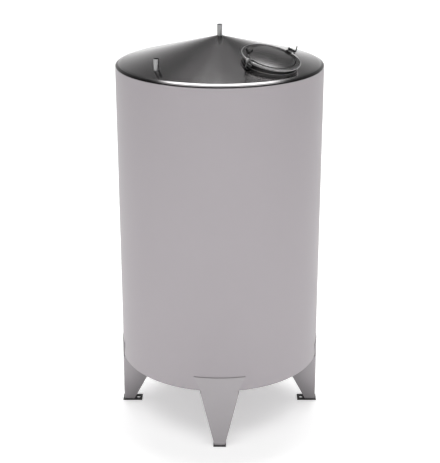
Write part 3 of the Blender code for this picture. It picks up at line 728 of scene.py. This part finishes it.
class TANK_OT_stage(Operator):
    """Add the floor, the soft studio light and the camera"""
    bl_idname = "tank.stage"
    bl_label = "Stage"

    def execute(self, context):
        sizes = context.scene.tank_stage
        context.scene.view_settings.view_transform = "Standard"
        self.floor(sizes)
        self.world(context)
        self.fill_light()
        self.camera(context, sizes)
        return {"FINISHED"}

    def floor(self, sizes):
        bm = bmesh.new()
        bmesh.ops.create_circle(bm, cap_ends=True, segments=96, radius=sizes.floor_radius)
        made, tree, shader = principled("floor_paper", FLOOR_TONE, 0.85, 0.0)
        place = object_place(tree)
        # Painted light: the floor glows more or less by its distance from the tank, which shapes the
        # tank's soft shadow
        share = calc(tree, "DIVIDE", distance_of(tree, place), PAINTED_GLOW_STOPS[-1][0])
        glow = grey_ramp(tree, share, PAINTED_GLOW_STOPS, interpolation="B_SPLINE")
        fed(tree, shader, {"Specular IOR Level": 0.1, "Emission Color": grey(1.0),
                           "Emission Strength": glow})
        tone = stretched_noise(tree, place, (0.35,) * 3, 2.0, 0.5)
        tinted(tree, shader, FLOOR_TONE, spread(tree, tone, 0.995, 1.005))
        floor = piece("studio_floor", bm, made, Matrix.Translation((0.0, 0.0, -0.0005)))

    def world(self, context):
        """A studio by angle over the tank: light in front, dark above, a soft box behind and above.

        The backdrop itself is plain and pale.
        """
        world = bpy.data.worlds.new("studio")
        context.scene.world = world
        world.use_nodes = True
        tree = world.node_tree
        sky = tree.nodes["Background"]
        place = tree.nodes.new("ShaderNodeTexCoord").outputs["Generated"]
        split = node(tree, "ShaderNodeSeparateXYZ", Vector=place).outputs
        share = calc(tree, "DIVIDE", azimuth_of(tree, split[2], split[1]), pi)
        level = calc(tree, "MULTIPLY", grey_ramp(tree, share, SKY_STOPS, SKY_PEAK), SKY_PEAK)
        ring = ranged(tree, split[2], *HORIZON, HORIZON_LEVEL, 0.0)
        both = calc(tree, "MAXIMUM", level, ring)
        all_light = calc(tree, "MAXIMUM", both, self.light_box(tree, share, split[0]))
        seen = tree.nodes.new("ShaderNodeLightPath").outputs["Is Camera Ray"]
        strength = ranged(tree, seen, 0.0, 1.0, all_light, 1.0)
        fed(tree, sky, {"Color": grey(1.0), "Strength": strength})

    def light_box(self, tree, share, side):
        """A soft box behind and above the tank, with edges above, below and on both sides."""
        front, front_full, back_full, back = [degrees / 180.0 for degrees in BOX_ANGLES]
        rise = ranged(tree, share, front, front_full, 0.0, BOX_LEVEL)
        fall = ranged(tree, share, back_full, back, 1.0, 0.0)
        apart = calc(tree, "ABSOLUTE", calc(tree, "SUBTRACT", side, BOX_ASIDE))
        ends = ranged(tree, apart, *BOX_SIDES, 1.0, 0.0)
        return calc(tree, "MULTIPLY", calc(tree, "MULTIPLY", rise, fall), ends)

    def fill_light(self):
        """A wide light overhead and an even one for the floor, which the steel doesn't mirror."""
        near = bpy.data.lights.new("fill_light", "AREA")
        near.shape = "DISK"
        near.size = FILL_SIZE
        near.energy = FILL_POWER
        even = bpy.data.lights.new("even_light", "SUN")
        even.angle = radians(EVEN_SPREAD)
        even.energy = EVEN_POWER
        for lamp in (near, even):
            made = linked(lamp.name, lamp)
            made.location = (0.0, 0.0, LAMP_HEIGHT)
            made.visible_glossy = False

    def camera(self, context, sizes):
        lens = bpy.data.cameras.new("view")
        lens.sensor_fit = "VERTICAL"
        lens.sensor_height = 36.0
        lens.lens = sizes.lens
        lens.clip_end = 400.0
        made = linked("view", lens)
        made.location = (sizes.aside, -sizes.distance, sizes.height)
        made.rotation_euler = (pi / 2 - sizes.pitch, 0.0, 0.0)
        context.scene.camera = made


class TANK_OT_wall(Operator):
    """Roll the wall as one smooth band"""
    bl_idname = "tank.wall"
    bl_label = "Wall"

    def execute(self, context):
        sizes = context.scene.tank_shell
        carrier = linked("carrier", bpy.data.meshes.new("carrier"))
        values = {"Radius": sizes.radius, "Sheet": sizes.sheet, "Low": WALL_LOW.z,
                  "High": WALL_HIGH.z + sizes.wall_lift,
                  "Facets": sizes.facets, "Finish": finish("wall_sheet")}
        wall = grown("shell_wall", carrier, band_tree(), values)
        hand_over(wall, "root", "shell_steel", *PANELS)
        return {"FINISHED"}


class TANK_OT_ends(Operator):
    """Turn the roof and the bottom with their rounded rims"""
    bl_idname = "tank.ends"
    bl_label = "Roof and bottom"
    rim_steps = 14
    bend_steps = 8
    # from where to where the holes are cut, along the neck and along the fill stub
    neck_cut = (-0.13, 0.0)
    fill_cut = (-0.2, 0.1)

    def execute(self, context):
        sizes = context.scene.tank_shell
        pipes = context.scene.tank_pipes
        hatch = context.scene.tank_hatch
        top = self.outline(sizes, sizes.roof_knuckle, sizes.roof_slope, sizes.band_slope,
                           pipes.radius + SEAT, WALL_HIGH.z + SEAT + sizes.wall_lift, 1.0)
        roof = piece("roof_sheet", turned(top, sizes.facets), finish("roof_sheet"))
        self.cut(roof, hatch.neck_radius, self.neck_cut, hatch.facets, hatch_matrix(hatch))
        fill = Matrix.Translation((FILL_LOW + FILL_HIGH) / 2)
        self.cut(roof, pipes.radius, self.fill_cut, pipes.facets, fill)
        smoothed(roof.data)
        hand_over(roof, "root", "roof_steel", "roof_cone")
        low = self.outline(sizes, sizes.bottom_knuckle, sizes.bottom_slope, sizes.bottom_slope,
                           pipes.drain_radius + SEAT, WALL_LOW.z - SEAT, -1.0)
        bottom = piece("bottom_sheet", turned(low, sizes.facets), finish("wall_sheet"))
        hand_over(bottom, "root", "shell_steel", "bottom_cone")
        return {"FINISHED"}

    def cut(self, roof, radius, span, facets, matrix):
        """Cut a round hole through the roof for a pipe or neck of this radius."""
        reach = radius + SEAT
        low, high = span
        tool = turned([(0.0, low), (reach, low), (reach, high), (0.0, high)], facets)
        cut_with(roof, piece("hole", tool, finish("roof_sheet"), matrix))

    def outline(self, sizes, knuckle, slope, band, hole, seam, side):
        """A conical end's outline: its outer face from the seam inwards, and its inner face back.

        The band is the slope at the knuckle, from which the sheet bends to its own slope.
        """
        centre = sizes.radius - knuckle
        faces = []
        for depth in (0.0, sizes.sheet):
            points = arc(centre, 0.0, knuckle - depth, 0.0, pi / 2 - band,
                         self.rim_steps)
            if band > slope:
                bend = bend_centre(sizes)
                points += arc(*bend, sizes.band_bend - depth, pi / 2 - band, pi / 2 - slope,
                              self.bend_steps)
            across, height = points[-1]
            points.append((hole, height + (across - hole) * tan(slope)))
            faces.append(points)
        return [(across, seam + side * height) for across, height in faces[0] + faces[1][::-1]]


class TANK_OT_legs(Operator):
    """Fold the four legs and add their foot plates"""
    bl_idname = "tank.legs"
    bl_label = "Legs"
    columns = 28
    fold_steps = 5
    flange_steps = 8
    rows_below = 16
    rows_above = 5
    # the gaps to the wall and the bottom, and where the sides' inner edge starts and how it leans
    wall_gap = 0.0004
    bottom_gap = 0.0006
    side_reach = 0.634
    side_lean = 0.48

    def execute(self, context):
        sizes = context.scene.tank_legs
        shell = context.scene.tank_shell
        for side, azimuth in LEG_AZIMUTHS.items():
            turn = Matrix.Rotation(radians(azimuth), 4, "Z")
            # The side legs take a finish with painted shade towards the floor
            sheet = "side_leg_sheet" if side in ("left", "right") else "leg_sheet"
            leg = piece(f"folded_leg_{side}", self.sheet(sizes, shell), finish(sheet), turn)
            wall = leg.modifiers.new("sheet", "SOLIDIFY")
            wall.thickness = sizes.sheet
            wall.offset = -1.0
            wall.use_even_offset = True
            settle(leg)
            smoothed(leg.data, 40.0)
            hand_over(leg, "root", "leg_steel", f"leg_{side}")
            low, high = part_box(f"foot_{side}")
            rolled = Matrix.Scale(sizes.foot_thickness / (high.z - low.z), 4, (0.0, 0.0, 1.0))
            foot = refined(f"foot_{side}", f"foot_plate_{side}", finish("foot_coat"), 0.0012, rolled)
            hand_over(foot, "root", "foot_coating", f"foot_{side}")
        return {"FINISHED"}

    def half_width(self, sizes, height):
        low, high = sizes.foot_thickness, WALL_LOW.z
        start, end = sizes.width_foot, sizes.width_wall
        if height > WALL_LOW.z:
            low, high = WALL_LOW.z, sizes.top
            start, end = sizes.width_wall, sizes.width_top
        return (start + (height - low) / (high - low) * (end - start)) / 2

    def web_point(self, sizes, radius, share, height):
        """A point of the leg's face; the share runs from -1 to 1 across it."""
        edge = self.half_width(sizes, height) - sizes.fold * min(1.0, self.below(sizes, height))
        angle = asin(edge / radius) * share
        return Vector((radius * sin(angle), -radius * cos(angle), height))

    def below(self, sizes, height):
        """One below the wall's edge, and falling to nothing at the leg's top edge."""
        return (sizes.top - height) / (sizes.top - WALL_LOW.z)

    def side_point(self, sizes, radius, step, height):
        """A point of the fold or of the side behind it, without its sign across."""
        half = self.half_width(sizes, height)
        edge = half - sizes.fold
        start = sqrt(radius ** 2 - edge ** 2)
        if step <= self.fold_steps:
            angle = pi / 2 * step / self.fold_steps
            across = edge + sizes.fold * sin(angle)
            return Vector((across, -(start - sizes.fold * (1 - cos(angle))), height))
        share = (step - self.fold_steps) / self.flange_steps
        outer = start - sizes.fold
        inner = self.side_reach - self.side_lean * (height - sizes.foot_thickness)
        return Vector((half, -(outer + share * (inner - outer)), height))

    def top_of(self, sizes, shell, radius, step):
        """Where a line of the side meets the tank's bottom."""
        height = WALL_LOW.z
        limit = shell.radius - 2 * shell.bottom_knuckle
        for _ in range(8):
            place = self.side_point(sizes, radius, step, height)
            reach = min(hypot(place.x - sizes.sheet, place.y), limit)
            height = bottom_height(shell, reach) - self.bottom_gap
        corner = limit - sizes.relief
        depth = (-place.y - corner) / (shell.radius - sizes.fold - corner)
        return height - sizes.relief * min(1.0, max(0.0, depth))

    def sheet(self, sizes, shell):
        """The leg's outer face as one open grid: its face, two folds and two sides."""
        radius = shell.radius + self.wall_gap + sizes.sheet
        low = sizes.foot_thickness + SEAT
        bm = bmesh.new()
        heights = spaced(low, WALL_LOW.z, self.rows_below)
        heights += spaced(WALL_LOW.z, sizes.top, self.rows_above)[1:]
        shares = spaced(-1.0, 1.0, self.columns)
        face = [[bm.verts.new(self.web_point(sizes, radius, share, height)) for share in shares]
                for height in heights]
        for lower, upper in zip(face, face[1:]):
            for column in range(self.columns):
                bm.faces.new([lower[column], lower[column + 1], upper[column + 1], upper[column]])
        for sign, edge in ((-1, 0), (1, self.columns)):
            self.side(bm, sizes, shell, radius, sign, [line[edge] for line in face], low)
        bmesh.ops.recalc_face_normals(bm, faces=bm.faces)
        front = max(bm.faces, key=lambda found: found.calc_center_median().z)
        if front.normal.y > 0:
            bmesh.ops.reverse_faces(bm, faces=bm.faces)
        return bm

    def side(self, bm, sizes, shell, radius, sign, shared, low):
        """Join a fold and a side to the face's edge, whose points they share up to the wall."""
        before = shared[:self.rows_below + 1]
        for step in range(1, self.fold_steps + self.flange_steps + 1):
            top = self.top_of(sizes, shell, radius, step)
            column = []
            for height in spaced(low, top, self.rows_below):
                place = self.side_point(sizes, radius, step, height)
                place.x *= sign
                column.append(bm.verts.new(place))
            for row in range(self.rows_below):
                bm.faces.new([before[row], column[row], column[row + 1], before[row + 1]])
            before = column


class TANK_OT_pipes(Operator):
    """Add the vent, fill and drain stubs"""
    bl_idname = "tank.pipes"
    bl_label = "Pipe stubs"

    def execute(self, context):
        sizes = context.scene.tank_pipes
        stubs = (("vent", VENT_LOW, VENT_HIGH, sizes.radius), ("fill", FILL_LOW, FILL_HIGH, sizes.radius),
                 ("drain", DRAIN_LOW, DRAIN_HIGH, sizes.drain_radius))
        for name, low, high, radius in stubs:
            middle = (low + high) / 2
            middle.z = 0.0
            matrix = Matrix.Translation(middle)
            stub = turned(self.outline(radius, sizes.wall, low.z, high.z), sizes.facets)
            made = piece(f"{name}_stub", stub, finish("stub_steel"), matrix)
            # Painted shade: the stub's bore and its top lip are near black
            bore = radius - 0.75 * sizes.wall
            crown = high.z - 0.25 * sizes.wall
            part_finished(made, "pipe_bore", matrix,
                          lambda across, height: across < bore or height > crown)
            hand_over(made, "root", "pipe_steel", f"{name}_pipe")
        return {"FINISHED"}

    def outline(self, radius, wall, low, high):
        """A tube's wall with rounded lips."""
        centre = radius - wall / 2
        lip = wall / 2
        upper = arc(centre, high - lip, lip, 0.0, pi, 6)
        lower = arc(centre, low + lip, lip, pi, 2 * pi, 6)
        return upper + lower


class TANK_OT_hatch(Operator):
    """Add the hatch's neck, lid and gasket"""
    bl_idname = "tank.hatch"
    bl_label = "Hatch"
    dome_steps = 36
    # half the groove's width, and how far from its middle the rim starts
    groove_half = 0.003
    rim_start = 0.0045
    # how low the underside is round the groove and at the rib
    under_low = -0.0048
    rib_low = -0.0072
    # where the painted highlight on the bead and the painted shade in the groove start
    bead_low = 0.0012
    groove_low = -0.0032
    # the gasket's middle, its share of the gap under the lid, and its corners
    gasket_radius = 0.1787
    gasket_share = 0.98
    gasket_steps = 24

    def execute(self, context):
        sizes = context.scene.tank_hatch
        matrix = hatch_matrix(sizes)
        sheet = context.scene.tank_shell.sheet
        neck = piece("neck_ring", turned(self.neck_outline(sizes, sheet), sizes.facets),
                     finish("neck_sheet"), matrix)
        flange_in = sizes.neck_radius + 0.001
        flange_low = -sizes.neck_top - sizes.flange_thickness - 0.001
        part_finished(neck, "flange_sheet", matrix,
                      lambda across, height: across > flange_in and height > flange_low)
        hand_over(neck, "root", "hatch_steel", "hatch_neck")
        lid = piece("domed_lid", turned(self.lid_outline(sizes, sheet), sizes.facets),
                    finish("hatch_sheet"), matrix, sharp=50.0)
        # Painted highlight: the bead's upper outer half is about twice as light as the lid
        bead_middle = sizes.lid_radius - sizes.bead
        part_finished(lid, "bead_sheet", matrix,
                      lambda across, height: across > bead_middle and height > self.bead_low)
        # Painted shade: the groove between the dome and the rim is near black
        part_finished(lid, "groove_sheet", matrix, lambda across, height:
                      abs(across - sizes.groove) < self.rim_start and self.groove_low < height < 0.0)
        hand_over(lid, "lid", "hatch_steel", "hatch_lid")
        ring = self.gasket_outline(sizes)
        gasket = piece("lid_gasket", turned(ring, sizes.facets), finish("seal_rubber"), matrix)
        hand_over(gasket, "lid", "gasket_rubber", "hatch_gasket")
        return {"FINISHED"}

    def neck_outline(self, sizes, sheet):
        inner = sizes.neck_radius - sheet
        top = -sizes.neck_top
        low = top - sizes.flange_thickness
        half = sizes.flange_thickness / 2
        edge = arc(sizes.flange_radius - half, top - half, half, -pi / 2, pi / 2, 8)
        fillet = [(sizes.neck_radius, low - 0.002), (sizes.neck_radius + 0.0006, low - 0.0006),
                  (sizes.neck_radius + 0.002, low)]
        return [(inner, -sizes.neck_depth), (sizes.neck_radius, -sizes.neck_depth)] + fillet + edge + [
            (inner + 0.001, top), (inner, top - 0.001)]

    def lid_outline(self, sizes, sheet):
        """From the crown over the groove and flat rim to the bead, and back along the underside."""
        groove = sizes.groove
        ball = (groove ** 2 + sizes.dome ** 2) / (2 * sizes.dome)
        dome = [(radius, sqrt(ball ** 2 - radius ** 2) - ball + sizes.dome)
                for radius in spaced(0.0, groove - self.groove_half, self.dome_steps)]
        valley = arc(groove, -0.0006, 0.0024, -pi, -pi / 8, 8)
        bead_centre = sizes.lid_radius - sizes.bead
        bead_height = sizes.rim_top - sizes.bead
        bead = arc(bead_centre, bead_height, sizes.bead, radians(125), radians(-90), 21)
        foot = bead[0]
        rim = [(groove + self.rim_start, 0.0022), (foot[0] - 0.0012, foot[1] - 0.0002)]
        rim_under = sizes.rim_top - sheet - 0.0002
        inner = bead_centre - sizes.bead + 0.0003
        rib = sizes.rib
        under = [(inner, bead_height), (inner, rim_under),
                 (rib + 0.006, rim_under), (rib + 0.005, -0.003), (rib + 0.0005, self.rib_low),
                 (rib - 0.0042, self.under_low), (groove - self.groove_half, self.under_low)]
        lower = [(radius, height - sheet) for radius, height in reversed(dome)
                 if radius < groove - 0.007]
        return dome + valley + rim + bead + under + lower

    def gasket_outline(self, sizes):
        """A ring of round rubber that nearly fills the gap between flange and lid."""
        low = -sizes.neck_top + SEAT
        high = sizes.rim_top - 0.0035
        last = self.gasket_steps - 1
        return arc(self.gasket_radius, (low + high) / 2, (high - low) / 2 * self.gasket_share, 0.0,
                   2 * pi * last / self.gasket_steps, last)


class TANK_OT_hinge(Operator):
    """Add the hinge's bracket, leaf and bent pin"""
    bl_idname = "tank.hinge"
    bl_label = "Hinge"

    def execute(self, context):
        fitted("hinge_bracket", "ear_bracket", "fitting_steel", 0.0008, "root", "hatch_steel")
        fitted("hinge_leaf", "lid_leaf", "fitting_steel", 0.0007, "lid", "hatch_steel")
        fitted("hinge_pin", "bent_pin", "pin_steel", 0.0008, "lid", "pipe_steel")
        return {"FINISHED"}


class TANK_OT_latch(Operator):
    """Add the latch's tab, stem, wing grip and catch"""
    bl_idname = "tank.latch"
    bl_label = "Latch"

    def execute(self, context):
        fitted("latch_tab", "sleeve_tab", "clasp_steel", 0.0008, "lid", "hatch_steel")
        fitted("latch_stem", "tongue_stem", "fitting_steel", 0.0007, "latch", "pipe_steel")
        fitted("latch_grip", "wing_grip", "wing_plastic", 0.0018, "latch", "grip_plastic")
        fitted("latch_catch", "neck_catch", "clasp_steel", 0.0008, "root", "hatch_steel")
        return {"FINISHED"}


class TANK_OT_welds(Operator):
    """Run the weld beads round the neck and the pipe stubs"""
    bl_idname = "tank.welds"
    bl_label = "Welds"
    # the beads' radii, their ripple, and the step between their points as a share of the radius
    neck_bead = 0.0032
    pipe_bead = 0.0022
    ripple = 0.12
    step_share = 0.45

    def execute(self, context):
        shell = context.scene.tank_shell
        pipes = context.scene.tank_pipes
        hatch = context.scene.tank_hatch
        tree = bead_tree()
        matrix = hatch_matrix(hatch)
        self.bead("neck_weld", tree, self.on_neck(shell, hatch, matrix), self.neck_bead)
        middle = (FILL_LOW + FILL_HIGH) / 2
        for name, height_of, place, radius in (
                ("fill_weld", roof_height, middle, pipes.radius),
                ("vent_weld", roof_height, Vector(), pipes.radius),
                ("drain_weld", bottom_height, Vector(), pipes.drain_radius)):
            self.bead(name, tree, self.on_pipe(shell, height_of, place, radius), self.pipe_bead)
        return {"FINISHED"}

    def bead(self, name, tree, points, size):
        values = {"Bead": size, "Ripple": self.ripple, "Step": size * self.step_share,
                  "Finish": finish("weld_metal")}
        made = grown(name, path_object(points), tree, values, sharp=80.0)
        hand_over(made, "root", "hatch_steel")

    def ring(self, count, radius):
        return [direction(360.0 * index / count) * radius for index in range(count)]

    def on_pipe(self, shell, height_of, middle, radius):
        points = [middle + step for step in self.ring(48, radius + 0.0004)]
        for place in points:
            place.z = height_of(shell, hypot(place.x, place.y))
        return points

    def on_neck(self, shell, hatch, matrix):
        """Where the neck's outside meets the roof."""
        normal = matrix.to_3x3() @ Vector((0.0, 0.0, 1.0))
        points = [matrix @ step for step in self.ring(120, hatch.neck_radius + 0.0006)]
        for place in points:
            for _ in range(6):
                place -= normal * (place.z - roof_height(shell, hypot(place.x, place.y)))
        return points


class TANK_PT_sidebar(Panel):
    """Steps that build the tank, in order"""
    bl_idname = "TANK_PT_sidebar"
    bl_label = "Tank"
    bl_space_type = "VIEW_3D"
    bl_region_type = "UI"
    bl_category = "Tank"

    def draw(self, context):
        for step in STEPS:
            self.layout.operator(step.bl_idname)
        for name in GROUPS:
            group = getattr(context.scene, name)
            box = self.layout.box()
            for key in group.__annotations__:
                box.prop(group, key)


STEPS = (TANK_OT_stage, TANK_OT_wall, TANK_OT_ends, TANK_OT_legs, TANK_OT_pipes, TANK_OT_hatch,
         TANK_OT_hinge, TANK_OT_latch, TANK_OT_welds)
GROUPS = {"tank_shell": TankShellSizes, "tank_legs": TankLegSizes, "tank_pipes": TankPipeSizes,
          "tank_hatch": TankHatchSizes, "tank_finishes": TankFinishes, "tank_stage": TankStageSizes}
CLASSES = (*GROUPS.values(), *STEPS, TANK_PT_sidebar)


def register():
    for kind in CLASSES:
        bpy.utils.register_class(kind)
    for name, group in GROUPS.items():
        setattr(bpy.types.Scene, name, PointerProperty(type=group))


def unregister():
    for name in GROUPS:
        delattr(bpy.types.Scene, name)
    for kind in reversed(CLASSES):
        bpy.utils.unregister_class(kind)


def main():
    register()
    bpy.ops.tank.stage()
    bpy.ops.tank.wall()
    bpy.ops.tank.ends()
    bpy.ops.tank.legs()
    bpy.ops.tank.pipes()
    bpy.ops.tank.hatch()
    bpy.ops.tank.hinge()
    bpy.ops.tank.latch()
    bpy.ops.tank.welds()


if __name__ == "__main__":
    main()
